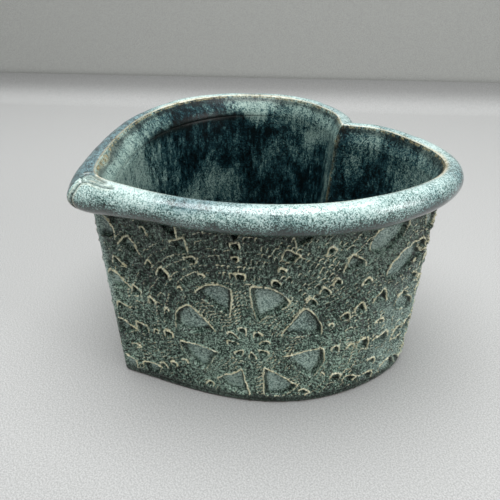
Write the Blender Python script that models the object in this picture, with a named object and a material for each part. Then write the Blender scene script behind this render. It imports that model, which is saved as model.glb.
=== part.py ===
"""Heart-shaped stoneware yarn bowl, hand built from slabs and coils.

The bowl is a heart in plan. The point of the heart faces -Y and its cleft faces +Y,
so the right half lies at +X and the left half at -X. A flat base slab carries two
upright wall slabs, which are joined at the point and at the cleft. Thinner coils of
clay strengthen the seams, and a thick rolled coil on each wall makes the rim.
Units are metres, +Z is up, and the origin is the middle of the footprint on the base.
"""

import math
from typing import NamedTuple

import bmesh
import bpy
from mathutils import Vector
from mathutils.geometry import interpolate_bezier

# Driving dimensions. An "offset" is measured outward from the rim's inner edge in plan.
HEIGHT = 0.1083  # base to the rim's inner edge
BASE_THICKNESS = 0.0065
BASE_CHAMFER = 0.0010
WALL_THICKNESS = 0.0062
WALL_TAPER = 0.0050  # how far the foot of the wall stands inside its top
RIM_JOINT_Z = 0.0982  # where the rim coil sits on the wall
ROLL_HALF_WIDTH = 0.0057
ROLL_HALF_HEIGHT = 0.0063
ROLL_CENTRE_OFFSET = 0.0027
ROLL_END_ANGLE = -105.0  # degrees round the roll where its underside meets the wall
FLARE_POWER = 1.6  # the rim's inner face leans out faster towards the top
SEAM_COIL = 0.0060  # leg of the coil in the corner of wall and base
CORNER_COIL = 0.0075  # leg of the coil in an upright corner
GAP = 0.0003  # clearance between neighbouring pieces
TIP_TO_CLEFT = 0.1365
TIP_ANGLE = 57.2  # degrees between the heart's axis and each wall at the tip
CLEFT_ANGLE = 62.0  # degrees between the axis and each wall at the cleft

# Detail of the meshes.
SPAN_POINTS = 40
STATIONS = 44
ROLL_STEPS = 9
FLARE_STEPS = 4
FILLET_STEPS = 4
END_EXTENSION = 0.030


class Half(NamedTuple):
    """One half of the heart, in distances along and across its axis from the tip."""

    shoulder: tuple  # the widest place (along, across)
    lobe_end: tuple  # the place furthest from the tip (along, across)
    tip_reach: float
    shoulder_in: float
    shoulder_out: float
    lobe_in: float
    lobe_out: float
    cleft_reach: float


# The two halves differ a little, as hand-bent slabs do. The reaches are the lengths of
# the curve's handles, so a longer one keeps the line straighter beside its place.
RIGHT = Half((0.1046, 0.0774), (0.1498, 0.0346), 0.0445, 0.0532, 0.0303, 0.0327, 0.0273, 0.0136)
LEFT = Half((0.0973, 0.0828), (0.1468, 0.0346), 0.0394, 0.0485, 0.0268, 0.0263, 0.0217, 0.0136)


def direction(angle):
    """Unit vector at an angle in degrees from the heart's axis."""
    return Vector((math.cos(math.radians(angle)), math.sin(math.radians(angle))))


def bezier(start, start_handle, end_handle, end):
    """Points along one cubic span, without its last point."""
    return interpolate_bezier(start, start_handle, end_handle, end, SPAN_POINTS)[:-1]


def half_outline(half):
    """The rim's inner edge of one half, from the tip to the cleft."""
    tip = Vector((0.0, 0.0))
    cleft = Vector((TIP_TO_CLEFT, 0.0))
    shoulder = Vector(half.shoulder)
    lobe_end = Vector(half.lobe_end)
    along = Vector((1.0, 0.0))
    across = Vector((0.0, 1.0))
    points = bezier(tip, tip + half.tip_reach * direction(TIP_ANGLE),
                    shoulder - half.shoulder_in * along, shoulder)
    points += bezier(shoulder, shoulder + half.shoulder_out * along,
                     lobe_end + half.lobe_in * across, lobe_end)
    points += bezier(lobe_end, lobe_end - half.lobe_out * across,
                     cleft + half.cleft_reach * direction(CLEFT_ANGLE), cleft)
    return points + [cleft]


def with_straight_ends(points):
    """The outline carried on in a straight line past both ends."""
    first = (points[0] - points[1]).normalized() * END_EXTENSION
    last = (points[-1] - points[-2]).normalized() * END_EXTENSION
    return [points[0] + first] + points + [points[-1] + last]


def moved_outward(points, offset):
    """The outline moved away from the heart's middle by an offset."""
    moved = []
    for index, point in enumerate(points):
        before = points[max(index - 1, 0)]
        after = points[min(index + 1, len(points) - 1)]
        tangent = (after - before).normalized()
        moved.append(point + offset * Vector((-tangent.y, tangent.x)))
    return moved


def trimmed(points, margin):
    """The part of the outline that lies further than the margin from the axis."""
    middle = len(points) // 2
    kept = [points[middle]]
    for indices, at_start in ((range(middle - 1, -1, -1), True),
                              (range(middle + 1, len(points)), False)):
        for index in indices:
            inner = kept[0] if at_start else kept[-1]
            point = points[index]
            if point.y <= margin:
                share = (inner.y - margin) / (inner.y - point.y)
                point = inner.lerp(point, share)
            kept.insert(0 if at_start else len(kept), point)
            if point.y <= margin + 1e-9:
                break
    return kept


def resampled(points, count):
    """The same line as a number of points at equal steps."""
    lengths = [0.0]
    for before, after in zip(points, points[1:]):
        lengths.append(lengths[-1] + (after - before).length)
    result = []
    index = 0
    for step in range(count):
        target = lengths[-1] * step / (count - 1)
        while index < len(points) - 2 and lengths[index + 1] < target:
            index += 1
        span = lengths[index + 1] - lengths[index]
        result.append(points[index].lerp(points[index + 1], (target - lengths[index]) / span))
    return result


def offset_line(half, offset, margin=GAP / 2, count=STATIONS):
    """A line beside the rim's inner edge, from the tip to the cleft."""
    points = moved_outward(with_straight_ends(half_outline(half)), offset)
    return resampled(trimmed(points, margin), count)


def wall_outer(height):
    """Offset of the wall's outer face at a height."""
    return -WALL_TAPER * (1.0 - height / HEIGHT)


def wall_inner(height):
    """Offset of the wall's inner face at a height."""
    return wall_outer(height) - WALL_THICKNESS


def footprint_centre():
    """Middle of the bowl's box in plan, as (x, y) with the tip at the origin."""
    reach = ROLL_CENTRE_OFFSET + ROLL_HALF_WIDTH
    right = offset_line(RIGHT, reach, count=400)
    left = offset_line(LEFT, reach, count=400)
    across = (max(p.y for p in right) - max(p.y for p in left)) / 2
    ends = [p.x for p in right + left]
    return Vector((across, (min(ends) + max(ends)) / 2))


CENTRE = footprint_centre()


def place(point, side, height):
    """A point of a half's line as a point of the bowl; side is +1 right, -1 left."""
    return Vector((side * point.y - CENTRE.x, point.x - CENTRE.y, height))


def rim_profile():
    """Section of the rim coil as (offset, height), up its inner face and over the roll."""
    foot = RIM_JOINT_Z + GAP
    profile = []
    for step in range(FLARE_STEPS):
        share = step / FLARE_STEPS
        offset = wall_inner(foot) * (1.0 - share ** FLARE_POWER)
        profile.append((offset, foot + (HEIGHT - foot) * share))
    centre_z = HEIGHT - ROLL_HALF_HEIGHT * math.sqrt(
        1.0 - (ROLL_CENTRE_OFFSET / ROLL_HALF_WIDTH) ** 2)
    start = math.acos(-ROLL_CENTRE_OFFSET / ROLL_HALF_WIDTH)
    end = math.radians(ROLL_END_ANGLE)
    for step in range(ROLL_STEPS + 1):
        angle = start + (end - start) * step / ROLL_STEPS
        profile.append((ROLL_CENTRE_OFFSET + ROLL_HALF_WIDTH * math.cos(angle),
                        centre_z + ROLL_HALF_HEIGHT * math.sin(angle)))
    profile.append((wall_outer(foot), foot))
    return profile


def wall_profile():
    """Section of a wall slab as (offset, height)."""
    foot = BASE_THICKNESS + GAP
    top = RIM_JOINT_Z
    return [(wall_inner(foot), foot), (wall_inner(top), top),
            (wall_outer(top), top), (wall_outer(foot), foot)]


def seam_profile():
    """Section of the coil that fills the corner of wall and base."""
    foot = BASE_THICKNESS + GAP
    face = wall_inner(foot) - GAP
    profile = [(face, foot)]
    for step in range(FILLET_STEPS + 1):
        angle = math.radians(90.0 * step / FILLET_STEPS)
        profile.append((face - SEAM_COIL * (1.0 - math.sin(angle)),
                        foot + SEAM_COIL * (1.0 - math.cos(angle))))
    return profile


def make_material(name, colour, roughness):
    """A plain glaze of one colour."""
    material = bpy.data.materials.new(name)
    material.use_nodes = True
    shader = material.node_tree.nodes["Principled BSDF"]
    shader.inputs["Base Color"].default_value = (*colour, 1.0)
    shader.inputs["Roughness"].default_value = roughness
    shader.inputs["Metallic"].default_value = 0.0
    return material


def make_object(name, mesh_builder, material, sharp_angle=35.0):
    """A closed object made from a bmesh, shaded smooth between its sharp edges."""
    bmesh.ops.recalc_face_normals(mesh_builder, faces=mesh_builder.faces)
    mesh = bpy.data.meshes.new(name)
    mesh_builder.to_mesh(mesh)
    mesh_builder.free()
    mesh.shade_smooth()
    mesh.set_sharp_from_angle(angle=math.radians(sharp_angle))
    mesh.materials.append(material)
    piece = bpy.data.objects.new(name, mesh)
    bpy.context.scene.collection.objects.link(piece)
    return piece


def loft(rings):
    """A closed mesh through rings of equally many points, with flat ends."""
    builder = bmesh.new()
    rows = [[builder.verts.new(point) for point in ring] for ring in rings]
    size = len(rings[0])
    for row, following in zip(rows, rows[1:]):
        for index in range(size):
            after = (index + 1) % size
            builder.faces.new((row[index], row[after], following[after], following[index]))
    builder.faces.new(rows[0])
    builder.faces.new(rows[-1])
    return builder


def sweep(half, side, profile):
    """A closed mesh with one section, carried from the tip to the cleft."""
    lines = [offset_line(half, offset) for offset, _ in profile]
    rings = []
    for station in range(STATIONS):
        rings.append([place(line[station], side, height)
                      for line, (_, height) in zip(lines, profile)])
    return loft(rings)


def heart_ring(offset, height):
    """A whole heart outline at one height."""
    right = offset_line(RIGHT, offset, margin=0.0)
    left = offset_line(LEFT, offset, margin=0.0)
    ring = [place(point, 1, height) for point in right]
    return ring + [place(point, -1, height) for point in reversed(left[1:-1])]


def make_base_slab(material):
    """Flat heart-shaped slab with a small chamfer round its foot."""
    edge = wall_outer(0.0)
    rings = [heart_ring(edge - BASE_CHAMFER, 0.0), heart_ring(edge, BASE_CHAMFER),
             heart_ring(wall_outer(BASE_THICKNESS), BASE_THICKNESS)]
    make_object("base_slab", loft(rings), material)


def corner_ring(height, offset, at_tip, leg):
    """Plan section of a coil pressed into the angle that the two walls make."""
    reach = []
    for half, side in ((RIGHT, 1), (LEFT, -1)):
        line = offset_line(half, offset, margin=0.0, count=400)
        if not at_tip:
            line = line[::-1]
        far = next(point for point in line if (point - line[0]).length >= leg)
        reach.append((place(line[0], side, height), place(far, side, height)))
    (corner, right), (_, left) = reach
    curve = interpolate_bezier(right, right.lerp(corner, 0.5), left.lerp(corner, 0.5),
                               left, FILLET_STEPS + 1)
    return [corner] + list(curve)


def make_corner_coil(name, material, bottom, top, face, at_tip):
    """Upright coil in a corner; face gives the offset of the wall face beside it."""
    rings = []
    for height in (bottom, top):
        rings.append(corner_ring(height, face(height), at_tip, CORNER_COIL))
    make_object(name, loft(rings), material)


def build():
    """Every piece of the bowl."""
    for existing in list(bpy.data.objects):
        bpy.data.objects.remove(existing)
    body = make_material("teal_glaze", (0.060, 0.105, 0.100), 0.35)
    rim = make_material("pale_aqua_glaze", (0.330, 0.470, 0.470), 0.22)
    inside = make_material("dark_inner_glaze", (0.020, 0.055, 0.065), 0.25)

    make_base_slab(body)
    for half, side, word in ((RIGHT, 1, "right"), (LEFT, -1, "left")):
        make_object(f"{word}_wall_slab", sweep(half, side, wall_profile()), body)
        make_object(f"{word}_rim_coil", sweep(half, side, rim_profile()), rim)
        make_object(f"{word}_base_seam_coil", sweep(half, side, seam_profile()), inside)

    above_seam = BASE_THICKNESS + SEAM_COIL + 2 * GAP
    make_corner_coil("tip_seam_coil", inside, above_seam, RIM_JOINT_Z,
                     lambda height: wall_inner(height) - GAP, at_tip=True)
    below_roll = HEIGHT - 2 * ROLL_HALF_HEIGHT - GAP
    make_corner_coil("cleft_seam_coil", body, BASE_THICKNESS + GAP, below_roll,
                     lambda height: wall_outer(height) + GAP, at_tip=False)


build()
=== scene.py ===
"""Looks of the heart-shaped stoneware yarn bowl.

A finely meshed piece with the same outline replaces each packed slab and coil. The walls
carry the relief of a crocheted doily, and the glazes are procedural materials.
Lengths are metres, and millimetres where a heading or docstring says so.
"""

import math

import bmesh
import bpy
import numpy as np
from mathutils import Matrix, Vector


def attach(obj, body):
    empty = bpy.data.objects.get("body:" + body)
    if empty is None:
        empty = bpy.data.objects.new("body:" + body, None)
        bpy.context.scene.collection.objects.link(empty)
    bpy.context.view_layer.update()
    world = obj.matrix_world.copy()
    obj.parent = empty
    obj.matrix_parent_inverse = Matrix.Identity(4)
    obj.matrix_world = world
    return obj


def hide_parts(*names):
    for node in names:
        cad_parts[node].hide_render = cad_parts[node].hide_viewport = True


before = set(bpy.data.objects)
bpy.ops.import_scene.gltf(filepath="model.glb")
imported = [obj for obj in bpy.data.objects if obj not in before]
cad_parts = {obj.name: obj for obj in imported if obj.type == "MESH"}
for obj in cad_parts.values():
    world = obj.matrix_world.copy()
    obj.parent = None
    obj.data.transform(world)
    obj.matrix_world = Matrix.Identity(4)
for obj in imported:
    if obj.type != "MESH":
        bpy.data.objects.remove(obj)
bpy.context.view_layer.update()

# -------- driving dimensions
# As the CAD pieces have them. An "offset" is measured outward from the rim's inner edge.
HEIGHT = 0.1083
BASE_THICKNESS = 0.0065
WALL_THICKNESS = 0.0062
WALL_TAPER = 0.0050
RIM_JOINT_Z = 0.0982
ROLL_HALF_WIDTH = 0.0057
ROLL_HALF_HEIGHT = 0.0063
ROLL_CENTRE_OFFSET = 0.0027
TIP_TO_CLEFT = 0.1365
TIP_ANGLE = math.radians(57.2)
CLEFT_ANGLE = math.radians(62.0)
RIGHT = dict(side=1, shoulder=(0.1046, 0.0774), lobe=(0.1498, 0.0346), tip_reach=0.0445,
             shoulder_in=0.0532, shoulder_out=0.0303, lobe_in=0.0327, lobe_out=0.0273,
             cleft_reach=0.0136, opens=(0.60, 0.75))
LEFT = dict(side=-1, shoulder=(0.0973, 0.0828), lobe=(0.1468, 0.0346), tip_reach=0.0394,
            shoulder_in=0.0485, shoulder_out=0.0268, lobe_in=0.0263, lobe_out=0.0217,
            cleft_reach=0.0136, opens=(0.66, 0.80))
INSIDE_LENGTH = 0.215  # along each wall's inner face, for placing the pale clouds, which are partly painted light
LOBE_OPENING = 0.0032  # how much further out the inside stands round the lobes
TIP_BULGE = 0.0012  # how far the tip swells at the foot
FOOT_TUCK = (0.0011, 0.00045, 0.0001)  # how far the lowest levels are tucked in
SEAM_LEG = 0.0060  # of the coils between wall and floor
CORNER_LEG = 0.0075  # of the upright coils

WALL_STATIONS = 601
RIM_STATIONS = 521
SEAM_STATIONS = 301
INSIDE_LEVELS = 80
FLOOR_RINGS = 70
LEVEL_STEP = 0.00042  # between the wall's levels
SHARP_CORNER = math.radians(72.0)

# Widths of the curves that round the outline's corners, at the tip and at the cleft.
WALL_ROUNDS = (0.0014, 0.0006)
INSIDE_TIP_ROUND = 0.0040
INSIDE_CLEFT_ROUND = 0.0005
INNER_TIP_ROUND = 0.0085  # of the rim's inner edge
OUTER_TIP_ROUND = 0.0035  # of the rim's outer edge

# Camera, and the sheets that it sees.
LOOK_AT = Vector((0.0889, -0.0454, 0.1083))
AZIMUTH = math.radians(59.1)
ELEVATION = math.radians(30.6)
DISTANCE = 0.175
FIELD_OF_VIEW = math.radians(49.3)
SHEET_REACH = 0.424  # where the floor sheet starts to turn up, behind the bowl
SHEET_FRONT = -1.2
SHEET_HALF_WIDTH = 1.6
SHEET_HEIGHT = 1.2
FOLD_RADIUS = 0.033
# Colour of the painted shade on the floor sheet's upturned fold.
FOLD_SHADE_COLOUR = (0.120, 0.120, 0.115)
# Soft square lamps: name, place ahead of, beside and above the bowl, size, power.
LAMPS = (("key", -0.08, -0.05, 1.05, 1.00, 16.6), ("side", -0.45, 0.90, 0.35, 0.50, 3.8))

# Details of the rim. The fold lines are in plan, from the tip of its inner edge.
TIP_DROOP = 0.0018
RIM_CROWDING = 0.70  # how much closer its stations stand at both ends
FOLD_FRONT = ((0.0020, -0.0090), (0.0030, -0.0055), (0.0028, -0.0020), (0.0053, 0.0003),
              (0.0090, 0.0018), (0.0135, 0.0038), (0.0170, 0.0065))
FOLD_BACK = ((0.0028, -0.0020), (-0.0005, -0.0007), (-0.0025, 0.0012), (-0.0020, 0.0028),
             (0.0000, 0.0042), (0.0030, 0.0050), (0.0095, 0.0060))

TABLE_SIZE = 4096  # random numbers behind each noise


# -------- noise and soft steps
def dice(row, index, seed, low=0.0):
    """A repeatable random number from low to 1 for each pair of whole numbers."""
    table = np.random.default_rng(seed).uniform(low, 1.0, TABLE_SIZE)
    return table[(row * 73 + index * 2179 + (row * index) % 911) % TABLE_SIZE]


def noise(x, y, size, seed):
    """Smooth noise between -1 and 1 whose lumps are about as wide as size."""
    u = x / size + 1000.0
    v = y / size + 1000.0
    i = np.floor(u).astype(np.int64)
    j = np.floor(v).astype(np.int64)
    fu = soft_step(u - i, 0.0, 1.0)
    fv = soft_step(v - j, 0.0, 1.0)
    low, high = (dice(i, k, seed, -1.0) * (1 - fu) + dice(i + 1, k, seed, -1.0) * fu
                 for k in (j, j + 1))
    return low * (1 - fv) + high * fv


def fractal(x, y, size, seed, octaves=3):
    """Noise with finer noise on top."""
    total = np.zeros_like(x)
    for octave in range(octaves):
        total += noise(x, y, size / 2 ** octave, seed + octave) / 2 ** octave
    return total / (2 - 0.5 ** (octaves - 1))


def soft_step(value, low, high):
    """0 below low, 1 above high, smooth between."""
    t = np.clip((value - low) / (high - low), 0.0, 1.0)
    return t * t * (3 - 2 * t)


def bell(distance, width):
    """1 at no distance, falling off to both sides."""
    return np.exp(-(distance / width) ** 2)


def between_ends(s, length, low, high):
    """0 at both ends of a line, 1 further in."""
    return soft_step(s, low, high) * soft_step(length - s, low, high)


def soft_max(a, b, blend):
    """The larger of two distances, with the crease rounded."""
    return 0.5 * (a + b + np.sqrt((a - b) ** 2 + blend ** 2))


# -------- outline of the heart
def bezier(start, start_handle, end_handle, end, count=400):
    """Points along one cubic span, without the last."""
    t = np.linspace(0.0, 1.0, count)[:-1, None]
    return ((1 - t) ** 3 * start + 3 * (1 - t) ** 2 * t * start_handle
            + 3 * (1 - t) * t ** 2 * end_handle + t ** 3 * end)


def outline(half):
    """The rim's inner edge of one half, as (along, across) from the tip to the cleft."""
    along, across = np.eye(2)
    tip = np.zeros(2)
    cleft = TIP_TO_CLEFT * along
    shoulder, lobe = (np.array(half[place]) for place in ("shoulder", "lobe"))
    tip_way, cleft_way = (np.array((math.cos(angle), math.sin(angle)))
                          for angle in (TIP_ANGLE, CLEFT_ANGLE))
    spans = [bezier(tip, tip + half["tip_reach"] * tip_way,
                    shoulder - half["shoulder_in"] * along, shoulder),
             bezier(shoulder, shoulder + half["shoulder_out"] * along,
                    lobe + half["lobe_in"] * across, lobe),
             bezier(lobe, lobe - half["lobe_out"] * across,
                    cleft + half["cleft_reach"] * cleft_way, cleft), cleft[None]]
    line = np.vstack(spans)
    return np.vstack([line[0] - 0.03 * tip_way, line, line[-1] - 0.03 * cleft_way])


def resample(line, count, crowding=0.0):
    """The line at equal steps, or at steps that shorten towards both ends."""
    steps = np.linalg.norm(np.diff(line, axis=0), axis=1)
    lengths = np.concatenate([[0.0], np.cumsum(steps)])
    share = np.linspace(0.0, 1.0, count)
    share = share - crowding * np.sin(2 * math.pi * share) / (2 * math.pi)
    wanted = share * lengths[-1]
    return np.stack([np.interp(wanted, lengths, line[:, k]) for k in (0, 1)], axis=1)


def offset_line(half, offset, count, tip_round=0.0, cleft_round=0.0, crowding=0.0):
    """A line beside the rim's inner edge, trimmed and rounded at the axis."""
    line = outline(half)
    tangent = np.gradient(line, axis=0)
    tangent /= np.linalg.norm(tangent, axis=1)[:, None]
    moved = line + offset * np.stack([-tangent[:, 1], tangent[:, 0]], axis=1)
    above = moved[:, 1] > 0.0
    middle = len(moved) // 2
    first = middle - np.argmin(above[:middle + 1][::-1])
    last = middle + np.argmin(above[middle:])

    def crossing(outside, inside):
        share = moved[inside, 1] / (moved[inside, 1] - moved[outside, 1])
        point = moved[inside] + share * (moved[outside] - moved[inside])
        return np.array((point[0], 0.0))

    kept = np.vstack([crossing(first, first + 1), moved[first + 1:last],
                      crossing(last, last - 1)])
    kept = resample(kept, count, crowding)
    share = np.linspace(0.0, 1.0, count)
    across = kept[:, 1]
    tip_shift = (np.hypot(across, tip_round) - across) / math.tan(TIP_ANGLE)
    cleft_shift = (np.hypot(across, cleft_round) - across) / math.tan(CLEFT_ANGLE)
    kept[:, 0] += tip_shift * (1.0 - soft_step(share, 0.15, 0.45))
    kept[:, 0] += cleft_shift * soft_step(share, 0.60, 0.90)
    return kept


def footprint_centre():
    """Middle of the CAD box in plan, from the tip of the inner edge."""
    reach = ROLL_CENTRE_OFFSET + ROLL_HALF_WIDTH
    right, left = (offset_line(half, reach, 800) for half in (RIGHT, LEFT))
    ends = np.concatenate([right[:, 0], left[:, 0]])
    return (right[:, 1].max() - left[:, 1].max()) / 2, (ends.min() + ends.max()) / 2


CENTRE = footprint_centre()


def placed(line, half, height):
    """A half's line as (x, y, z) points of the bowl."""
    x = half["side"] * line[:, 1] - CENTRE[0]
    y = line[:, 0] - CENTRE[1]
    return np.stack([x, y, np.broadcast_to(height, x.shape)], axis=1)


def wall_outer(height):
    """Offset of the wall's outer face at a height."""
    return -WALL_TAPER * (1.0 - height / HEIGHT)


def wall_inner(height):
    """Offset of the wall's inner face at a height."""
    return wall_outer(height) - WALL_THICKNESS


def arc_length(points):
    """Distance of each point from the first along the line."""
    steps = np.linalg.norm(np.diff(points, axis=0), axis=1)
    return np.concatenate([[0.0], np.cumsum(steps)])


def outward(points, half):
    """Level unit vectors that point out of the bowl, for points along one half."""
    tangent = np.gradient(points, axis=0)
    normal = np.stack([tangent[:, 1], -tangent[:, 0], np.zeros(len(points))], axis=1)
    return half["side"] * normal / np.linalg.norm(normal, axis=1)[:, None]


# -------- lace relief, in mm
PETALS = 8
PETAL_INNER = 15.6
PETAL_OUTER = 33.4
PETAL_SPREAD = 0.58  # half-width gained per mm outward
DROP_RADIUS = 7.2
RAYS = 15
RAY_PHASE = math.radians(-7.0)
ROW_RADII = (37.5, 44.9, 52.3)
ROW_WINDOWS = (1.6, 2.1, 2.7)
STITCH_PITCH = 2.2
STITCH_HALF_WIDTH = 0.60
FIRST_ROUND = 35.65
ROUND_PITCH = 3.70
RIB_PITCH = 1.9
BORDER_RADIUS = 62.0
BORDER_WINDOWS = 30
FANS = 22
FAN_INNER = 68.0
FAN_OUTER = 95.0
FAN_HALF_WIDTH = 8.4
WINDOW_DEPTH = 1.15
PIT_DEPTH = 0.50
LACE_STRETCH = 1.04  # the doily was pulled a little wider than tall
LACE_LEAN = 0.13  # and its top pulled towards the tip


def sector(angle, count, phase):
    """Index of each angle's sector, and the angle from its middle."""
    width = 2 * math.pi / count
    turn = (angle - phase) / width
    index = np.floor(turn + 0.5)
    return index.astype(int) % count, (turn - index) * width


def petal_distance(radius, angle, random):
    """Signed distance to the fan-shaped petals round the centre."""
    index, local = sector(angle, PETALS, math.radians(22.5))
    inner = PETAL_INNER + random.uniform(-1.2, 1.4, PETALS)[index]
    outer = PETAL_OUTER + random.uniform(-0.8, 0.8, PETALS)[index]
    lean = random.uniform(-0.04, 0.04, PETALS)[index]
    slant = random.uniform(-0.28, 0.28, PETALS)[index]
    along = radius * np.cos(local + lean)
    across = radius * np.sin(local + lean)
    reach = along - inner
    belly = 0.10 * reach * (outer - inner - reach) / (outer - inner)
    flare = 0.86 * (np.abs(across) - PETAL_SPREAD * reach - np.maximum(belly, -1.0))
    arc = radius - outer + slant * across + 0.018 * across ** 2
    return soft_max(flare, arc, 1.6)


def drop_distance(radius, angle):
    """Signed distance to the small drops at the centre."""
    _, local = sector(angle, PETALS, math.radians(8.0))
    along = radius * np.cos(local) - DROP_RADIUS
    across = radius * np.sin(local)
    width = np.maximum(1.0 + 0.22 * along, 0.3)
    return 1.1 * (np.hypot(along / 1.6, across / width) - 1.0)


def stitch_distance(radius, angle, seed):
    """Signed distance to the holes between the rounds' stitches."""
    row = np.floor((radius - FIRST_ROUND) / ROUND_PITCH).astype(int)
    middle = FIRST_ROUND + (row + 0.5) * ROUND_PITCH
    count = np.round(2 * math.pi * middle / STITCH_PITCH).astype(int)
    turn = angle / (2 * math.pi) * count + 0.37 * row
    index = np.floor(turn + 0.5).astype(int)
    stitch = (row, index % count)
    along = radius - middle - 0.7 * (dice(*stitch, seed) - 0.5)
    tilt = 0.5 * dice(*stitch, seed + 1) - 0.2
    across = (turn - index) * 2 * math.pi * middle / count + tilt * along
    reach = np.where(row % 2 == 0, 1.1, 0.55) + 0.6 * dice(*stitch, seed + 2)
    holes = soft_max(np.abs(across) - STITCH_HALF_WIDTH, np.abs(along) - reach, 0.4)
    holes = holes + 0.35 * dice(*stitch, seed + 3) ** 2
    left_out = dice(*stitch, seed + 4) < np.where(radius > 58.0, 0.30, 0.08)
    return np.where(left_out | (radius < FIRST_ROUND), 9.0, holes)


def rib_distance(radius, angle, seed):
    """Signed distance to the slanted stitches in the ribs between the petals."""
    index, local = sector(angle, PETALS, 0.0)
    beside = np.abs(radius * np.sin(local))
    column = np.floor(beside / RIB_PITCH).astype(int)
    step = np.floor(radius / RIB_PITCH + 0.5 * column).astype(int)
    along = radius - (step + 0.5 - 0.5 * column) * RIB_PITCH
    across = beside - (column + 0.5) * RIB_PITCH + 0.5 * along
    holes = soft_max(np.abs(across) - 0.42, np.abs(along) - 0.60, 0.3)
    holes = holes + 0.40 * dice(step, index + 8 * column, seed)
    return np.where((radius > 11.0) & (radius < 34.0), holes, 9.0)


def row_windows(radius, angle, row, random):
    """Signed distance to one round's small windows, lined up on the rays."""
    centre = ROW_RADII[row]
    index, local = sector(angle, RAYS, RAY_PHASE)
    size = ROW_WINDOWS[row] * random.choice((0.55, 0.90, 1.05), RAYS)[index]
    along = radius - centre - random.uniform(-0.8, 0.8, RAYS)[index]
    across = (local + random.uniform(-0.02, 0.02, RAYS)[index]) * centre
    return soft_max(np.abs(across) - size * (1.0 + 0.10 * along), np.abs(along) - size, 1.1)


def border_distance(radius, angle, random):
    """Signed distance to the shield-shaped windows outside the rows."""
    index, local = sector(angle, BORDER_WINDOWS, RAY_PHASE)
    on_ray = index % 2 == 0
    size = np.where(on_ray, random.uniform(3.6, 5.2, BORDER_WINDOWS)[index],
                    random.uniform(1.7, 3.0, BORDER_WINDOWS)[index])
    along = radius - BORDER_RADIUS - random.uniform(-1.5, 1.5, BORDER_WINDOWS)[index]
    across = np.abs(local + random.uniform(-0.02, 0.02, BORDER_WINDOWS)[index]) * BORDER_RADIUS
    point = 0.84 * across - 0.54 * (along + 1.2 * size)
    return soft_max(soft_max(point, along - size, 1.5), across - size, 1.5)


def fan_distance(radius, angle, random):
    """Signed distance to the leaf-shaped openings of the doily's edge."""
    index, local = sector(angle, FANS, math.radians(24.0))
    along = radius - FAN_INNER - random.uniform(-1.0, 2.0, FANS)[index]
    length = FAN_OUTER - FAN_INNER - random.uniform(0.0, 7.0, FANS)[index]
    sway = random.uniform(-0.16, 0.16, FANS)[index]
    across = local * radius + sway * along
    share = np.clip(along / length, 0.0, 1.0)
    half = FAN_HALF_WIDTH * random.uniform(0.75, 1.0, FANS)[index] * np.sin(np.pi * share ** 0.8)
    leaf = soft_max(0.85 * (np.abs(across) - half), -along, 1.0) + 0.5
    thread = 1.1 - np.abs(across + 0.8 * np.sin(0.5 * along))
    rung = 0.9 - np.abs(along - 0.55 * length + 0.10 * across ** 2)
    split = random.uniform(0.0, 1.0, FANS)[index]
    leaf = np.where(split > 0.75, soft_max(leaf, thread, 0.8), leaf)
    return np.where(split < 0.25, soft_max(leaf, rung, 0.8), leaf)


def doily(x, y, seed):
    """Distances to one doily's windows and pits at x, y from its centre."""
    random = np.random.default_rng(seed)
    x = x + LACE_LEAN * y
    warp_x = x + 0.85 * noise(x, y, 9.0, seed + 1) + 0.35 * noise(x, y, 2.8, seed + 2)
    warp_y = y + 0.85 * noise(x, y, 9.0, seed + 3) + 0.35 * noise(x, y, 2.8, seed + 4)
    radius = np.hypot(warp_x / LACE_STRETCH, warp_y)
    angle = np.arctan2(warp_y, warp_x / LACE_STRETCH)
    rings = [petal_distance(radius, angle, random), drop_distance(radius, angle)]
    rings += [row_windows(radius, angle, row, random) for row in range(len(ROW_RADII))]
    rings += [border_distance(radius, angle, random), fan_distance(radius, angle, random)]
    windows = np.minimum.reduce(rings)
    holes = np.minimum(stitch_distance(radius, angle, seed + 5),
                       rib_distance(radius, angle, seed + 6))
    return windows, np.maximum(holes, 0.75 - windows)


def lace(s, z, centres):
    """Distances to windows and pits at arc length s and height z, from the nearest doily."""
    reach = [np.hypot(s - cs, z - cz) / scale for cs, cz, scale in centres]
    nearest = np.argmin(reach, axis=0)
    windows = np.full_like(s, 9.0)
    pits = np.full_like(s, 9.0)
    for index, (cs, cz, scale) in enumerate(centres):
        mine = nearest == index
        found = doily((s[mine] - cs) / scale, (z[mine] - cz) / scale, 40 + 10 * index)
        windows[mine] = found[0] * scale
        pits[mine] = found[1] * scale
    return windows, pits


def shade_bands_and_base_line(s, z):
    """How dark the wall is, from 0 to 1: painted shade at its foot, towards its top and under the
    rim, and the dark line at the base.
    """
    # Painted shade at the foot, where the wall meets the floor; the next line is the dark line at
    # the base.
    low = 0.72 * (1.0 - soft_step(z + 1.2 * fractal(s, z, 6.0, 47), 2.5, 6.5))
    line = 0.80 * bell(z - 2.4, 0.7)
    # Painted shade towards the top and just under the rim, where the rim shades the wall.
    high = 0.36 * soft_step(z + 3.0 * fractal(s, z, 9.0, 57), 54.0, 72.0)
    under_rim = 0.85 * soft_step(z, 86.0, 96.0)
    return np.maximum(np.maximum(low, line), np.maximum(high, under_rim))


def pooled_glaze(s, z, windows, thin, edge):
    """Where the glaze lies thick: in the windows, low round the lobe and at the point."""
    pool = (1.0 - soft_step(windows, -2.2, -0.9)) * (0.6 + 0.4 * thin)
    lobe = soft_step(s + 9.0 * fractal(s, z, 14.0, 67), 122.0, 148.0)
    pool = np.maximum(pool, 0.50 * lobe * (1.0 - soft_step(z, 50.0, 74.0)))
    corner = 0.90 * (1.0 - soft_step(s, 1.5, 4.5)) * soft_step(z, 30.0, 62.0)
    return np.maximum(pool * edge, corner), corner


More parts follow.
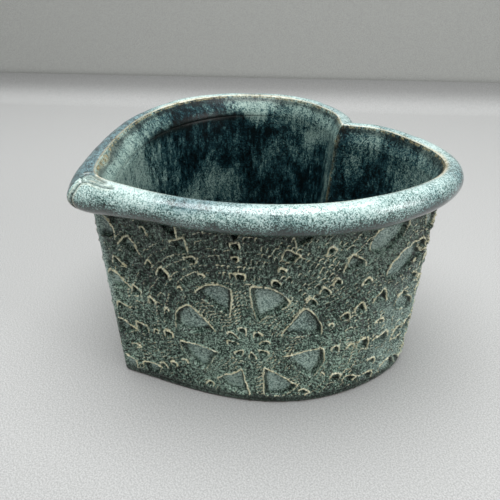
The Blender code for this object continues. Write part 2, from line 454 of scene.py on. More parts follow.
def relief(s, z, centres, length):
    """The outer face's height on a grid of s and z, with its glaze masks.

    The masks are the lips where glaze runs thin, the pools and the dark foot of each step, which
    is painted shade under the lips and in the pits, with the painted shade bands.
    """
    windows, pits = lace(s, z, centres)
    steps = (np.maximum(np.gradient(s, axis=0), 1e-6), np.gradient(z, axis=1))
    (rise_s, rise_z), (pit_s, pit_z) = ([np.gradient(field, axis=axis) / steps[axis]
                                         for axis in (0, 1)] for field in (windows, pits))
    upper = np.clip(0.55 + 0.62 * rise_z + 0.36 * np.abs(rise_s), 0.08, 1.0)
    pit_upper = np.clip(0.45 + 0.55 * pit_z - 0.45 * pit_s, 0.05, 1.0)

    window_floor = 1.0 - soft_step(windows, -0.50, 0.10)
    pit_floor = (1.0 - soft_step(pits, -0.25, 0.30)) * (1.0 - window_floor)
    bead = bell(windows - 0.50, 0.50)
    pit_bead = bell(pits - 0.45, 0.34)
    grain = 0.13 * fractal(s, z, 1.5, 7) + 0.25 * fractal(s, z, 7.0, 17)
    height = (0.82 * bead + 0.48 * pit_bead + grain
              - WINDOW_DEPTH * window_floor - PIT_DEPTH * pit_floor)

    worn = soft_step(fractal(s, z, 4.0, 27), -0.70, 0.10)
    thin = soft_step(fractal(s, z, 13.0, 37), -0.55, 0.45)
    lip = np.maximum(bead * upper * (0.65 + 0.35 * worn),
                     1.1 * pit_bead * pit_upper * worn * (0.60 + 0.40 * thin))
    # Painted shade below the upper lips of the windows and on the floors of the pits.
    foot = np.maximum(bell(windows + 0.45, 0.65) * upper, 0.75 * pit_floor)

    edge = soft_step(z, 3.2, 5.5) * between_ends(s, length, 0.8, 3.5)
    seam = 0.45 * bell(z - 2.6, 0.55)
    foot = np.maximum(foot * edge, shade_bands_and_base_line(s, z))
    pool, corner = pooled_glaze(s, z, windows, thin, edge)
    return height * edge - seam, lip * edge, pool, foot * (1.0 - 0.8 * corner)


# Pale clouds on each wall's inside, partly paler glaze and partly painted light, in metres: place
# from the tip and above the base, reach both ways, strength. A negative strength is a dark place;
# the right wall's last one, beside the cleft, is partly painted shade.
PALE_GLAZE_AND_LIGHT_CLOUDS = {
    -1: ((0.006, 0.080, 0.062, 0.080, 1.00), (0.157, 0.107, 0.031, 0.008, 1.00),
         (0.110, 0.053, 0.024, 0.017, 0.62), (0.186, 0.101, 0.034, 0.015, 0.75),
         (0.214, 0.088, 0.018, 0.040, 0.75), (0.160, 0.078, 0.024, 0.008, 0.32),
         (0.107, 0.107, 0.025, 0.013, -0.96)),
    1: ((0.006, 0.080, 0.044, 0.080, 0.95), (0.162, 0.080, 0.040, 0.036, 0.62),
        (0.206, 0.096, 0.022, 0.016, 0.58), (0.096, 0.058, 0.026, 0.018, 0.50),
        (0.187, 0.081, 0.0125, 0.018, -1.00))}

# Doilies on each wall: centre in mm from the tip and above the base, scale.
LACE_CENTRES = {1: ((70.0, 37.2, 1.0), (207.0, 50.0, 0.72)),
                -1: ((80.0, 50.0, 0.95), (206.0, 46.0, 0.72))}


# -------- meshes
def make_piece(name, points, faces, materials, face_slots=None, attributes=None):
    """A smooth mesh object with per-point attributes, facing outward."""
    mesh = bpy.data.meshes.new(name)
    mesh.from_pydata(points.tolist(), [], faces)
    for key, values in (attributes or {}).items():
        layer = mesh.attributes.new(key, "FLOAT", "POINT")
        layer.data.foreach_set("value", np.asarray(values, np.float32).ravel())
    for material in materials:
        mesh.materials.append(material)
    if face_slots is not None:
        mesh.polygons.foreach_set("material_index", np.asarray(face_slots, np.int32))
    mesh.update()
    if signed_volume(mesh) < 0.0:
        mesh.flip_normals()
    mesh.shade_smooth()
    mesh.set_sharp_from_angle(angle=SHARP_CORNER)
    return add_object(name, mesh)


def add_object(name, data):
    """A new object in the scene."""
    item = bpy.data.objects.new(name, data)
    bpy.context.scene.collection.objects.link(item)
    return item


def signed_volume(mesh):
    """Volume inside a closed mesh, negative when it is inside out."""
    shape = bmesh.new()
    shape.from_mesh(mesh)
    volume = shape.calc_volume(signed=True)
    shape.free()
    return volume


def loft_faces(stations, size):
    """Quads between closed rings, and the two end caps."""
    i, j = np.meshgrid(np.arange(stations - 1), np.arange(size), indexing="ij")
    after = (j + 1) % size
    quads = np.stack([i * size + j, i * size + after, (i + 1) * size + after,
                      (i + 1) * size + j], axis=-1).reshape(-1, 4).tolist()
    caps = [list(range(size))[::-1], list(range((stations - 1) * size, stations * size))]
    return quads + caps


def outer_skin(half, levels):
    """The wall's outer face with its lace at each level, and its masks."""
    foot, top = (placed(offset_line(half, wall_outer(height), WALL_STATIONS, *WALL_ROUNDS),
                        half, height) for height in (0.0, HEIGHT))
    length = arc_length((foot + top) / 2)
    share = (levels / HEIGHT)[None, :, None]
    points = foot[:, None] * (1 - share) + top[:, None] * share
    points[..., 1] -= TIP_BULGE * bell(length[:, None], 0.010) * (1 - share[..., 0])
    s, z = np.meshgrid(length * 1000.0, levels * 1000.0, indexing="ij")
    height, lip, pool, painted_shade_and_base_line = relief(s, z, LACE_CENTRES[half["side"]], length[-1] * 1000.0)
    normal = outward((foot + top) / 2, half)
    points = points + normal[:, None] * (height * 0.001)[..., None]
    return points, dict(lip=lip, pool=pool, foot=painted_shade_and_base_line)


def blended_line(half, offset, opening, height, count, tip_round, crowding=0.0):
    """A line at one offset that moves outward by the opening round the lobe."""
    closed, opened = (placed(offset_line(half, place, count, tip_round, INSIDE_CLEFT_ROUND,
                                         crowding), half, height)
                      for place in (offset, offset + opening))
    length = arc_length(closed)
    share = soft_step(length / length[-1], *half["opens"])[:, None]
    return closed * (1 - share) + opened * share


def inner_skin(half, levels):
    """The wall's inner face, a little uneven from the hand, at each level."""
    rows = []
    for level in levels:
        opening = LOBE_OPENING * soft_step(level, 0.030, 0.095)
        rows.append(blended_line(half, wall_inner(level), opening, level, WALL_STATIONS,
                                 INSIDE_TIP_ROUND))
    points = np.stack(rows, axis=1)
    s, z = np.meshgrid(arc_length(points[:, 0]), levels, indexing="ij")
    dent = 0.00030 * noise(s, z, 0.021, 61) + 0.00012 * noise(s, z, 0.006, 62)
    share = s / s.max()
    groove = 0.0005 * (1.0 - soft_step(share, half["opens"][0] - 0.08, half["opens"][1]))
    dent = dent - groove * bell(z - RIM_JOINT_Z, 0.0009)
    dent = dent * between_ends(s, s.max(), 0.0, 0.004)
    return points - outward(points[:, 0], half)[:, None] * dent[..., None]


def pale_glaze_and_painted_light(half, s, z):
    """How pale the inside is, from 0 to 1: a band under the rim, and clouds.

    They are partly paler glaze and partly painted light: lighter high up and near the point,
    darker lower down where the rim shades the inside.
    """
    s = s * (INSIDE_LENGTH / s.max())
    warp_s = s + 0.010 * fractal(s, z * 0.5, 0.018, 81, 4)
    warp_z = z + 0.014 * fractal(s, z * 0.3, 0.012, 85, 5)
    band_z = 0.65 * z + 0.35 * warp_z
    flare = 0.32 if half["side"] > 0 else 0.58
    pale = flare * soft_step(band_z, RIM_JOINT_Z - 0.002, RIM_JOINT_Z + 0.003)
    for middle_s, middle_z, reach_s, reach_z, strength in PALE_GLAZE_AND_LIGHT_CLOUDS[half["side"]]:
        far = np.hypot((warp_s - middle_s) / reach_s, (warp_z - middle_z) / reach_z)
        cloud = abs(strength) * (1.0 - soft_step(far, 0.35, 1.50))
        pale = pale * (1.0 - cloud) if strength < 0.0 else np.maximum(pale, cloud)
    thick = 0.85 + 0.30 * fractal(s, z, 0.012, 89, 4)
    # Darker next to the ridge at the cleft: on the right wall partly painted shade beside the
    # ridge, on the left a darker strip low down.
    thin = 0.9 if half["side"] > 0 else 0.55 * (1.0 - soft_step(z, 0.084, 0.098))
    thick = thick * (1.0 - thin * bell(INSIDE_LENGTH - s - 0.002, 0.004))
    return np.clip(pale * thick, 0.0, 1.0)


def groove_shade(half, s, z):
    """Dark glaze caught in the groove where the rim coil meets the left wall."""
    if half["side"] > 0:
        return np.zeros_like(s)
    s = s * (INSIDE_LENGTH / s.max())
    ragged = z + 0.0012 * fractal(s, z, 0.004, 93)
    run = soft_step(s, 0.054, 0.076) * (1.0 - soft_step(s, 0.125, 0.150))
    return run * bell(ragged - RIM_JOINT_Z + 0.0006, 0.0027)


def ridge_line(s, z):
    """Gold line along the inner ridge at the cleft, thinner lower down."""
    width = 0.0010 + 0.0007 * soft_step(z, 0.080, 0.105)
    return bell(s.max() - s, width) * (0.55 + 0.45 * noise(s * 0, z, 0.004, 95))


def make_wall(half, word, materials):
    """A wall slab: lace outside, plain inside, closed all round."""
    count = int(round((RIM_JOINT_Z - BASE_THICKNESS) / LEVEL_STEP))
    outer, masks = outer_skin(half, np.linspace(BASE_THICKNESS, RIM_JOINT_Z, count))
    inside_levels = np.linspace(RIM_JOINT_Z, BASE_THICKNESS, INSIDE_LEVELS)
    inner = inner_skin(half, inside_levels)
    rings = np.concatenate([outer, inner], axis=1)
    size = rings.shape[1]
    s, z = np.meshgrid(arc_length(inner[:, 0]), inside_levels, indexing="ij")
    inside = dict(pale=pale_glaze_and_painted_light(half, s, z), gold=ridge_line(s, z),
                  shade=groove_shade(half, s, z))
    masks = {key: np.pad(value, ((0, 0), (0, INSIDE_LEVELS))) for key, value in masks.items()}
    masks.update({key: np.pad(value, ((0, 0), (count, 0))) for key, value in inside.items()})
    slots = np.append(np.tile(np.arange(size) >= count - 1, WALL_STATIONS - 1), [0, 0])
    piece = make_piece(f"{word}_wall", rings.reshape(-1, 3), loft_faces(WALL_STATIONS, size),
                       materials, slots, masks)
    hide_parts(f"{word}_wall_slab")
    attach(piece, "root")


def make_base(materials):
    """The base slab: an edge that ends the walls' lace, and the floor as shrinking rings."""
    levels = np.array((0.0, 0.00035, 0.0009, 0.0015, 0.0020, 0.0024, 0.0028, 0.0032, 0.0036,
                       0.0041, 0.0046, 0.0051, 0.0056, 0.0061, BASE_THICKNESS))
    halves = []
    for half in (RIGHT, LEFT):
        points, masks = outer_skin(half, levels)
        tuck = outward(points[:, -1], half)[:, None] * np.array(FOOT_TUCK)[None, :, None]
        points[:, :len(FOOT_TUCK)] -= tuck
        halves.append((points, masks))
    (right, right_masks), (left, left_masks) = halves

    def joined(a, b):
        return np.concatenate([a, b[1:-1][::-1]], axis=0).swapaxes(0, 1)

    edge = joined(right, left)
    middle = np.array((0.0, 0.010, BASE_THICKNESS))
    shares = np.linspace(0.97, 0.03, FLOOR_RINGS)[:, None, None]
    floor = middle + shares * (edge[-1] - middle)
    floor[..., 2] += 0.0003 * noise(floor[..., 0], floor[..., 1], 0.016, 65)
    rings = np.concatenate([edge, floor])
    masks = {key: np.pad(joined(right_masks[key], left_masks[key]), ((0, FLOOR_RINGS), (0, 0)))
             for key in right_masks}
    pale = 0.45 * soft_step(fractal(floor[..., 0], floor[..., 1], 0.020, 66, 4), -0.1, 0.5)
    masks["pale"] = np.pad(pale, ((len(edge), 0), (0, 0)))
    count, size = rings.shape[:2]
    slots = np.zeros((count - 1, size), int)
    slots[:2] = 1
    slots[len(edge) - 1:] = 2
    piece = make_piece("base", rings.reshape(-1, 3), loft_faces(count, size), materials,
                       np.append(slots, [1, 2]), masks)
    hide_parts("base_slab")
    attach(piece, "root")


def rim_section():
    """Section of the rim: the flare up the inside, then the roll over the top.

    The flare is given as shares of the wall's inner offset with heights, the roll as
    offsets with heights.
    """
    share = np.linspace(0.0, 1.0, 20)[:-1]
    flare = np.stack([1.0 - share ** 1.6, RIM_JOINT_Z + (HEIGHT - RIM_JOINT_Z) * share], axis=1)
    centre_z = HEIGHT - ROLL_HALF_HEIGHT * math.sqrt(
        1.0 - (ROLL_CENTRE_OFFSET / ROLL_HALF_WIDTH) ** 2)
    start = math.acos(-ROLL_CENTRE_OFFSET / ROLL_HALF_WIDTH)
    angle = np.linspace(start, math.radians(-114.0), 60)
    roll = np.stack([ROLL_CENTRE_OFFSET + ROLL_HALF_WIDTH * np.cos(angle),
                     centre_z + ROLL_HALF_HEIGHT * np.sin(angle)], axis=1)
    return flare, roll


def rim_rings(half, flare, roll):
    """The rim's even points, station by station."""
    inner = wall_inner(RIM_JOINT_Z)
    columns = []
    for part, height in flare:
        tip_round = INNER_TIP_ROUND + (INSIDE_TIP_ROUND - INNER_TIP_ROUND) * part
        columns.append(blended_line(half, part * inner, part * LOBE_OPENING, height,
                                    RIM_STATIONS, tip_round, RIM_CROWDING))
    for offset, height in roll:
        reach = max(offset, 0.0) / (ROLL_CENTRE_OFFSET + ROLL_HALF_WIDTH)
        tip_round = INNER_TIP_ROUND + (OUTER_TIP_ROUND - INNER_TIP_ROUND) * reach
        line = offset_line(half, offset, RIM_STATIONS, tip_round, WALL_ROUNDS[1], RIM_CROWDING)
        columns.append(placed(line, half, height))
    under = offset_line(half, wall_outer(RIM_JOINT_Z) - 0.001, RIM_STATIONS, *WALL_ROUNDS,
                        RIM_CROWDING)
    return np.stack(columns + [placed(under, half, RIM_JOINT_Z)], axis=1)


def distance_to_path(x, y, path):
    """Distance in plan from points to a line through a few points."""
    best = np.full(x.shape, 1.0)
    for (ax, ay), (bx, by) in zip(path, path[1:]):
        dx = bx - ax
        dy = by - ay
        t = np.clip(((x - ax) * dx + (y - ay) * dy) / (dx * dx + dy * dy), 0.0, 1.0)
        best = np.minimum(best, np.hypot(x - ax - t * dx, y - ay - t * dy))
    return best


def tip_fold(rings, around):
    """Groove depth, flattened lens and crease masks where the coils' ends overlap."""
    x = rings[..., 0] + CENTRE[0]
    y = rings[..., 1] + CENTRE[1]
    near = distance_to_path(x, y, FOLD_FRONT)
    near = np.minimum(near, distance_to_path(x, y, FOLD_BACK))
    along = (x - 0.0050) * 0.95 + (y - 0.0032) * 0.31
    across = (y - 0.0032) * 0.95 - (x - 0.0050) * 0.31
    lens = 1.0 - soft_step(np.hypot(along / 0.0085, across / 0.0026), 0.75, 1.05)
    top = soft_step(around, -0.05, 0.0) * (1.0 - soft_step(around, 0.70, 0.85))
    crease = bell(near, 0.00045) * top
    lip = bell(near - 0.0011, 0.0004) * top * (0.5 + 0.5 * noise(x, y, 0.003, 97))
    return crease, lip, lens * top


def uneven_rim(half, rings, s, around, dent):
    """The rim as the hand left it: wobbling, thicker and drooping at the point."""
    wobble = (0.00035 * noise(s, around * 0.015, 0.020, 71)
              + 0.00014 * noise(s, around * 0.02, 0.006, 72))
    wobble = wobble * between_ends(s, s.max(), 0.0, 0.003)
    thick = 0.0008 * bell(s, 0.014) * soft_step(around, 0.25, 0.7)
    lift = (wobble + thick) * soft_step(around, -0.01, 0.12) * soft_step(1.0 - around, -0.01, 0.10)
    rings = rings + ring_normals(rings) * (lift - dent)[..., None]
    droop_reach = 0.020 if half["side"] > 0 else 0.007
    rings[..., 2] -= TIP_DROOP * bell(s, droop_reach) * soft_step(around, 0.10, 0.45)
    sway = 0.0004 * noise(s, s * 0.0, 0.045, 73) * soft_step(s, 0.0, 0.02)
    rings[..., 2] += sway * soft_step(rings[..., 2], RIM_JOINT_Z, HEIGHT)
    return rings


def lip_masks(half, rings, s, around, crest):
    """The thin-glazed inner edge, and the gold band and the dark run below it."""
    from_crest = np.linalg.norm(rings - rings[:, crest][:, None], axis=2)
    inside = around < 0.0
    width = 0.00065 + 0.00065 * soft_step(noise(s, s * 0.0, 0.018, 76), -0.2, 0.6)
    edge = bell(from_crest, width)
    tip_patch = bell(s - 0.021, 0.012) * (half["side"] < 0)
    band = 0.0012 + 0.0022 * tip_patch
    gold = inside * (1.0 - soft_step(from_crest, band * 0.7, band * 1.3))
    gold = np.maximum(gold, inside * ridge_line(s, rings[..., 2]))
    drip = (0.0025 if half["side"] > 0 else 0.0016) + 0.0012 * noise(s, s * 0.0, 0.009, 78)
    shade = 0.75 * inside * bell(from_crest - band - 0.0012, drip)
    return edge, gold, np.maximum(shade, groove_shade(half, s, rings[..., 2]))


def make_rim(half, word, materials):
    """A rolled rim coil with a thin-glazed inner edge."""
    flare, roll = rim_section()
    crest = len(flare)
    rings = rim_rings(half, flare, roll)
    places = np.concatenate([np.full(crest, -0.2), np.linspace(0.0, 1.0, len(roll)), [1.1]])
    s, around = np.meshgrid(arc_length(rings[:, crest]), places, indexing="ij")
    crease, fold_lip, lens = tip_fold(rings, around)
    at_cleft = 0.7 * bell(s.max() - s, 0.0006) * (around >= 0.0) * (around <= 1.0)
    crease = np.maximum(crease, at_cleft)
    rings = uneven_rim(half, rings, s, around, 0.0008 * crease + 0.0004 * lens)
    edge, gold, shade = lip_masks(half, rings, s, around, crest)
    masks = dict(edge=np.maximum(edge, 0.45 * fold_lip), gold=gold, shade=shade, crease=crease,
                 lens=lens, around=around, patch=rim_patches_and_painted_light(half, s, around),
                 pale=pale_glaze_and_painted_light(half, s, rings[..., 2]))
    size = rings.shape[1]
    slots = np.append(np.tile(np.arange(size) < crest, RIM_STATIONS - 1), [0, 0])
    piece = make_piece(f"{word}_rim", rings.reshape(-1, 3), loft_faces(RIM_STATIONS, size),
                       materials, slots, masks)
    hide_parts(f"{word}_rim_coil")
    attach(piece, "root")


def rim_patches_and_painted_light(half, s, around):
    """Where the rim's glaze lies thicker and bluer, from 0 to 1, with painted shade round the back
    lobes and, below 0, a painted highlight at the right half's point.
    """
    # Painted shade: the back lobes darker.
    lobe = 0.45 * soft_step(s, 0.120, 0.150)
    if half["side"] > 0:
        thick = 0.95 * bell(s - 0.054, 0.016)
        thick = thick * (1.0 - 0.8 * soft_step(around, 0.24, 0.46))
        # Painted highlight: the point lighter, as a negative patch.
        thick = thick - 0.6 * bell(s, 0.026)
    else:
        thick = 1.1 * (1.0 - soft_step(s, 0.070, 0.125))
        thick = thick * (1.0 - 0.25 * soft_step(around, 0.10, 0.30))
    thick = np.maximum(thick, lobe)
    blotch = 0.5 * fractal(s, around * 0.02, 0.014, 77) * soft_step(s, 0.012, 0.045)
    return np.clip(thick + blotch, -0.5, 1.0)


def ring_normals(rings):
    """Unit normals of a grid of rings, pointing out of the ring's section."""
    along = np.gradient(rings, axis=0)
    across = (np.roll(rings, -1, axis=1) - np.roll(rings, 1, axis=1)) / 2
    normal = np.cross(along, across)
    normal /= np.maximum(np.linalg.norm(normal, axis=2), 1e-12)[..., None]
    middle = rings.mean(axis=1)[:, None]
    if np.einsum("ijk,ijk->ij", normal, rings - middle).mean() < 0:
        normal = -normal
    return normal


def make_base_seam(half, word, material):
    """Smoothed coil in the corner of wall and floor."""
    face = wall_inner(BASE_THICKNESS)
    section = [(face, BASE_THICKNESS)]
    for angle in np.linspace(0.0, math.pi / 2, 10):
        section.append((face - SEAM_LEG * (1 - math.sin(angle)),
                        BASE_THICKNESS + SEAM_LEG * (1 - math.cos(angle))))
    rings = np.stack([placed(offset_line(half, offset, SEAM_STATIONS, INSIDE_TIP_ROUND, 0.0014),
                             half, height) for offset, height in section], axis=1)
    piece = make_piece(f"{word}_base_seam", rings.reshape(-1, 3),
                       loft_faces(SEAM_STATIONS, rings.shape[1]), [material])
    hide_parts(f"{word}_base_seam_coil")
    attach(piece, "root")


def corner_line(offset, height, at_tip):
    """Points across a corner between the two walls, and the corner itself."""
    ends = []
    for half in (RIGHT, LEFT):
        line = placed(offset_line(half, offset, 1601), half, height)
        line = line if at_tip else line[::-1]
        ends.append(line[np.searchsorted(arc_length(line), CORNER_LEG)])
    corner = line[0]
    t = np.linspace(0.0, 1.0, 15)[:, None]
    right, left = ends
    curve = (1 - t) ** 2 * right + 2 * (1 - t) * t * (0.35 * (right + left) / 2 + 0.65 * corner)
    return np.vstack([corner, curve + t ** 2 * left])


def make_corner_seam(name, node, bottom, top, face, at_tip, material):
    """Upright coil smoothed into a corner between the walls."""
    levels = np.linspace(bottom, top, 60)
    rings = np.stack([corner_line(face(level), level, at_tip) for level in levels])
    # Paler higher up, like the walls' inside next to it; partly painted light.
    pale = 0.45 + 0.45 * soft_step(rings[..., 2], 0.010, 0.060)
    piece = make_piece(name, rings.reshape(-1, 3), loft_faces(len(levels), rings.shape[1]),
                       [material], attributes=dict(pale=pale))
    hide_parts(node)
    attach(piece, "root")


# -------- materials
class Nodes:
    """Short ways to add and link shader nodes in one material."""

    def __init__(self, name):
        self.material = bpy.data.materials.new(name)
        self.material.use_nodes = True
        self.tree = self.material.node_tree
        self.shader = self.tree.nodes["Principled BSDF"]
        self.position = self.tree.nodes.new("ShaderNodeTexCoord").outputs["Object"]

    def link(self, value, socket):
        """Sets a socket to a number or colour, or links another socket to it."""
        if isinstance(value, bpy.types.NodeSocket):
            self.tree.links.new(value, socket)
        else:
            socket.default_value = value

    def add(self, kind, **inputs):
        """A new node with inputs set or linked by name, with "_" for a space."""
        node = self.tree.nodes.new("ShaderNode" + kind)
        for name, value in inputs.items():
            self.link(value, node.inputs[name.replace("_", " ")])
        return node

    def attribute(self, name):
        """A per-point value stored on the mesh."""
        node = self.add("Attribute")
        node.attribute_name = name
        return node.outputs["Fac"]

    def math(self, operation, a, b=0.0, c=0.0):
        """One arithmetic step."""
        node = self.add("Math")
        node.operation = operation
        for value, socket in zip((a, b, c), node.inputs):
            self.link(value, socket)
        return node.outputs[0]

    def total(self, start, *terms):
        """The sum of a start and of values times their factors."""
        for value, factor in terms:
            start = self.math("MULTIPLY_ADD", value, factor, start)
        return start

    def drawn_out(self, share):
        """The position with its height scaled, for textures that run down."""
        return self.add("Mapping", Vector=self.position, Scale=(1.0, 1.0, share)).outputs[0]

    def cells(self, scale):
        """A random value from 0 to 1 in each small cell; scale is cells per metre."""
        node = self.add("TexVoronoi", Vector=self.position, Scale=scale)
        return self.add("SeparateColor", Color=node.outputs["Color"]).outputs["Red"]

    def colours(self, value, stops):
        """Colour looked up along a row of (place, colour) stops."""
        node = self.add("ValToRGB", Fac=value)
        elements = node.color_ramp.elements
        while len(elements) < len(stops):
            elements.new(0.5)
        for element, (place, colour) in zip(elements, stops):
            element.position = place
            element.color = (*colour, 1.0)
        return node.outputs["Color"]

    def noise(self, scale, detail=3.0, roughness=0.55, vector=None, distortion=0.0):
        """Fractal noise from 0 to 1; scale is lumps per metre."""
        node = self.add("TexNoise", Vector=vector or self.position, Scale=scale, Detail=detail,
                        Roughness=roughness, Distortion=distortion)
        return node.outputs["Fac"]

    def ramp(self, value, low, high):
        """0 below low and 1 above high."""
        node = self.add("MapRange", Value=value, From_Min=low, From_Max=high)
        node.interpolation_type = "SMOOTHSTEP"
        return node.outputs["Result"]

    def mix(self, share, a, b):
        """Colour between a and b."""
        node = self.add("Mix")
        node.data_type = "RGBA"
        self.link(share, node.inputs[0])
        for colour, socket in ((a, node.inputs[6]), (b, node.inputs[7])):
            self.link((*colour, 1.0) if isinstance(colour, tuple) else colour, socket)
        return node.outputs[2]

    def covered(self, colour, name, share, over):
        """The colour with another over it, as far as a stored value says."""
        return self.mix(self.math("MULTIPLY", self.attribute(name), share), colour, over)

    def bump(self, height, distance, strength=1.0):
        """Fine surface from a height."""
        node = self.add("Bump", Strength=strength, Distance=distance, Height=height)
        self.link(node.outputs["Normal"], self.shader.inputs["Normal"])

    def finish(self, colour, roughness, ior=1.5, coat=0.0):
        """Sets or links the surface's own sockets."""
        for name, value in (("Base Color", colour), ("Roughness", roughness), ("IOR", ior),
                            ("Coat Weight", coat), ("Coat Roughness", 0.12)):
            self.link(value, self.shader.inputs[name])
        return self.material


def lace_glaze():
    """Teal glaze on the relief: pooled in the windows, broken to gold on the lips."""
    n = Nodes("lace_glaze")
    cell = n.cells(2100.0)
    grain = n.noise(700.0, 3.0, 0.7)
    patches = n.noise(30.0, 4.0, 0.6)
    tone = n.total(-0.405, (cell, 0.58), (grain, 0.62), (patches, 0.70))
    colour = n.colours(tone, ((0.34, (0.003, 0.008, 0.006)), (0.50, (0.018, 0.044, 0.031)),
                              (0.62, (0.070, 0.142, 0.106)), (0.76, (0.380, 0.530, 0.430))))
    pool = n.colours(n.math("ADD", tone, 0.13),
                     ((0.30, (0.026, 0.054, 0.048)), (0.55, (0.205, 0.325, 0.290)),
                      (0.85, (0.560, 0.700, 0.640))))
    colour = n.covered(colour, "pool", 0.85, pool)
    # foot is painted shade below the lips, in the pits, at the wall's foot, towards its top and
    # under the rim, with the dark line at the base.
    colour = n.covered(colour, "foot", 0.95, (0.003, 0.006, 0.004))
    broken = n.ramp(n.noise(800.0, 2.0), 0.28, 0.50)
    gold = n.math("MULTIPLY", n.ramp(n.attribute("lip"), 0.37, 0.78), broken)
    colour = n.mix(gold, colour, n.mix(cell, (0.600, 0.560, 0.330), (0.950, 0.930, 0.720)))
    n.bump(n.total(grain, (cell, 0.40)), 0.00034, 1.0)
    return n.finish(colour, n.total(0.16, (grain, 0.22)), 1.48)


def inner_glaze():
    """Dark glossy teal that ran down the inside, with paler speckled clouds that are partly
    painted light.
    """
    n = Nodes("inner_glaze")
    cell = n.cells(1900.0)
    run = n.noise(190.0, 5.0, 0.70, n.drawn_out(0.28), 0.3)
    fine = n.noise(520.0, 4.0, 0.75, n.drawn_out(0.45))
    mottle = n.noise(85.0, 5.0, 0.65)
    tone = n.total(-1.130, (cell, 0.30), (run, 0.98), (mottle, 0.60), (fine, 1.08))
    pepper = n.total(0.64, (cell, 0.35), (fine, -0.40))
    # pale is partly painted light on the walls' inside, the rim's flare and the tip seam.
    tone = n.total(tone, (n.attribute("pale"), pepper))
    colour = n.colours(tone, ((0.26, (0.0008, 0.0030, 0.0040)), (0.42, (0.0045, 0.0250, 0.0350)),
                              (0.57, (0.031, 0.092, 0.104)), (0.74, (0.170, 0.275, 0.250)),
                              (0.92, (0.360, 0.490, 0.440))))
    gold = n.math("MULTIPLY", n.attribute("gold"), n.ramp(n.noise(420.0, 3.0), 0.38, 0.56))
    colour = n.covered(colour, "shade", 0.95, (0.002, 0.004, 0.003))
    colour = n.mix(gold, colour, n.mix(cell, (0.055, 0.048, 0.020), (0.400, 0.350, 0.200)))
    n.bump(n.total(fine, (cell, 0.15)), 0.00030, 0.8)
    return n.finish(colour, n.total(0.16, (fine, 0.30)), 1.36)


def rim_glaze():
    """Pale aqua glaze with dark pepper, cream where it thins on the inner edge, painted shade
    under the roll and a painted highlight on the crown.
    """
    n = Nodes("rim_glaze")
    cell = n.cells(2500.0)
    grain = n.noise(650.0, 3.0, 0.7)
    drift = n.noise(90.0, 3.0, 0.5)
    # Painted shade: the roll darker towards its underside, partly denser pepper in the glaze.
    # Painted highlight: the crown lighter.
    below = n.ramp(n.attribute("around"), 0.36, 0.68)
    painted_crown_highlight = n.ramp(n.attribute("around"), 0.40, 0.14)
    # patch is thicker bluer glaze, with painted shade on the back lobes and a painted highlight at
    # the point where it is negative.
    patch = n.attribute("patch")
    tone = n.total(-0.205, (cell, 0.55), (grain, 0.55), (drift, 0.56), (below, -0.50),
                   (painted_crown_highlight, 0.13), (patch, -0.20))
    colour = n.colours(tone, ((0.20, (0.010, 0.024, 0.021)), (0.40, (0.080, 0.158, 0.146)),
                              (0.56, (0.310, 0.480, 0.455)), (0.82, (0.680, 0.840, 0.805))))
    speck = n.noise(240.0, 4.0, 0.7)
    blue = n.colours(n.total(-0.90, (tone, 1.0), (speck, 1.8)),
                     ((0.25, (0.008, 0.020, 0.028)), (0.54, (0.050, 0.120, 0.148)),
                      (0.94, (0.200, 0.345, 0.385))))
    colour = n.covered(colour, "patch", 0.92, blue)
    colour = n.covered(colour, "lens", 0.60,
                       n.mix(cell, (0.030, 0.050, 0.045), (0.180, 0.250, 0.220)))
    cream = n.colours(n.noise(380.0, 4.0, 0.7),
                      ((0.28, (0.040, 0.034, 0.016)), (0.38, (0.340, 0.280, 0.130)),
                       (0.50, (0.850, 0.800, 0.630))))
    cream = n.covered(cream, "patch", 0.62, (0.150, 0.125, 0.060))
    colour = n.mix(n.attribute("edge"), colour, cream)
    colour = n.covered(colour, "crease", 0.75, (0.030, 0.036, 0.022))
    n.bump(n.total(grain, (cell, 0.25)), 0.00006, 0.8)
    return n.finish(colour, n.total(0.10, (grain, 0.20)), 1.55, 0.5)


def bare_clay():
    """Unglazed speckled stoneware of the underside."""
    n = Nodes("bare_clay")
    grain = n.noise(900.0, 4.0, 0.7)
    colour = n.mix(n.ramp(grain, 0.35, 0.70), (0.060, 0.050, 0.038), (0.200, 0.165, 0.120))
    n.bump(grain, 0.00015, 0.8)
    return n.finish(colour, 0.85)


# -------- stage
def level_axes(azimuth):
    """Forward and sideways along the floor, as seen from an azimuth."""
    forward = Vector((-math.sin(azimuth), math.cos(azimuth), 0.0))
    return forward, Vector((forward.y, -forward.x, 0.0))


def make_stage():
    """Pale sheet that turns up, behind the bowl, into a darker backdrop."""
    profile = [(SHEET_FRONT, 0.0), (SHEET_REACH, 0.0)]
    for step in range(1, 25):
        angle = math.pi / 2 * step / 24
        profile.append((SHEET_REACH + FOLD_RADIUS * math.sin(angle),
                        FOLD_RADIUS * (1 - math.cos(angle))))
    back = SHEET_REACH + FOLD_RADIUS + 0.004
    add_sheet("floor_sheet", profile, (0.474, 0.478, 0.475), 0.52)
    add_sheet("backdrop_sheet", [(back, 0.0), (back, SHEET_HEIGHT)], (0.368, 0.373, 0.358), 0.0)


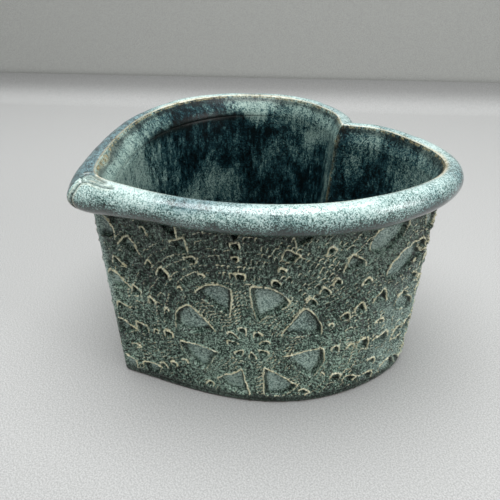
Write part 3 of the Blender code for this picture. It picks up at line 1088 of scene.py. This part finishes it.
def add_sheet(name, profile, tone, fold_shade):
    """A wide grained sheet along a profile of (forward, up) points."""
    forward, sideways = level_axes(AZIMUTH - math.radians(5.0))
    points = []
    for reach, height in profile:
        for width in (-SHEET_HALF_WIDTH, SHEET_HALF_WIDTH):
            points.append(forward * reach + sideways * width + Vector((0.0, 0.0, height)))
    faces = [(2 * k, 2 * k + 1, 2 * k + 3, 2 * k + 2) for k in range(len(profile) - 1)]
    mesh = bpy.data.meshes.new(name)
    mesh.from_pydata([tuple(p) for p in points], [], faces)
    mesh.shade_smooth()
    n = Nodes(name)
    grain = n.noise(1400.0, 2.0, 0.6)
    colour = n.mix(n.ramp(grain, 0.32, 0.68), tuple(0.82 * part for part in tone),
                   tuple(1.16 * part for part in tone))
    height = n.add("SeparateXYZ", Vector=n.position).outputs["Z"]
    # Painted shade on the upturned fold, which faces away from the lamp above, as far as
    # fold_shade says.
    fold = n.math("MULTIPLY", n.ramp(height, 0.001, 0.024), fold_shade)
    colour = n.mix(fold, colour, FOLD_SHADE_COLOUR)
    n.bump(grain, 0.00012, 0.5)
    mesh.materials.append(n.finish(colour, 0.85, 1.3))
    sheet = add_object(name, mesh)


def make_lights():
    """One large soft lamp above and before the bowl, a weak one, and a dim even world."""
    forward, sideways = level_axes(AZIMUTH)
    middle = Vector((0.0, 0.0, 0.06))
    for name, ahead, aside, above, size, power in LAMPS:
        data = bpy.data.lights.new(name, "AREA")
        data.shape = "SQUARE"
        data.size = size
        data.energy = power
        place = forward * ahead + sideways * aside + Vector((0.0, 0.0, above))
        lamp = add_object(name, data)
        lamp.location = middle + place
        lamp.rotation_euler = (-place).to_track_quat("-Z", "Y").to_euler()
    world = bpy.data.worlds.new("studio")
    world.use_nodes = True
    background = world.node_tree.nodes["Background"]
    background.inputs["Color"].default_value = (0.90, 0.94, 0.94, 1.0)
    background.inputs["Strength"].default_value = 0.24
    bpy.context.scene.world = world


def make_camera():
    """Camera close to the bowl, looking down on its right-hand wall."""
    away = Vector((math.sin(AZIMUTH) * math.cos(ELEVATION),
                   -math.cos(AZIMUTH) * math.cos(ELEVATION), math.sin(ELEVATION)))
    data = bpy.data.cameras.new("camera")
    data.sensor_width = 36.0
    data.lens = 18.0 / math.tan(FIELD_OF_VIEW / 2)
    data.clip_start = 0.01
    camera = add_object("camera", data)
    camera.location = LOOK_AT + DISTANCE * away
    camera.rotation_euler = (-away).to_track_quat("-Z", "Y").to_euler()
    bpy.context.scene.camera = camera


# -------- the bowl
def make_bowl():
    """Every visible piece, in place of the CAD pieces."""
    lace_material = lace_glaze()
    inside = inner_glaze()
    rim = rim_glaze()
    clay = bare_clay()
    for half, word in ((RIGHT, "right"), (LEFT, "left")):
        make_wall(half, word, [lace_material, inside])
        make_rim(half, word, [rim, inside])
        make_base_seam(half, word, inside)
    make_base([lace_material, clay, inside])
    make_corner_seam("tip_seam", "tip_seam_coil", BASE_THICKNESS + 0.006, RIM_JOINT_Z,
                     wall_inner, True, inside)
    make_corner_seam("cleft_seam", "cleft_seam_coil", BASE_THICKNESS,
                     HEIGHT - 2 * ROLL_HALF_HEIGHT, wall_outer, False, lace_material)


make_camera()
make_stage()
make_lights()
make_bowl()
bpy.context.scene.view_settings.view_transform = "Standard"
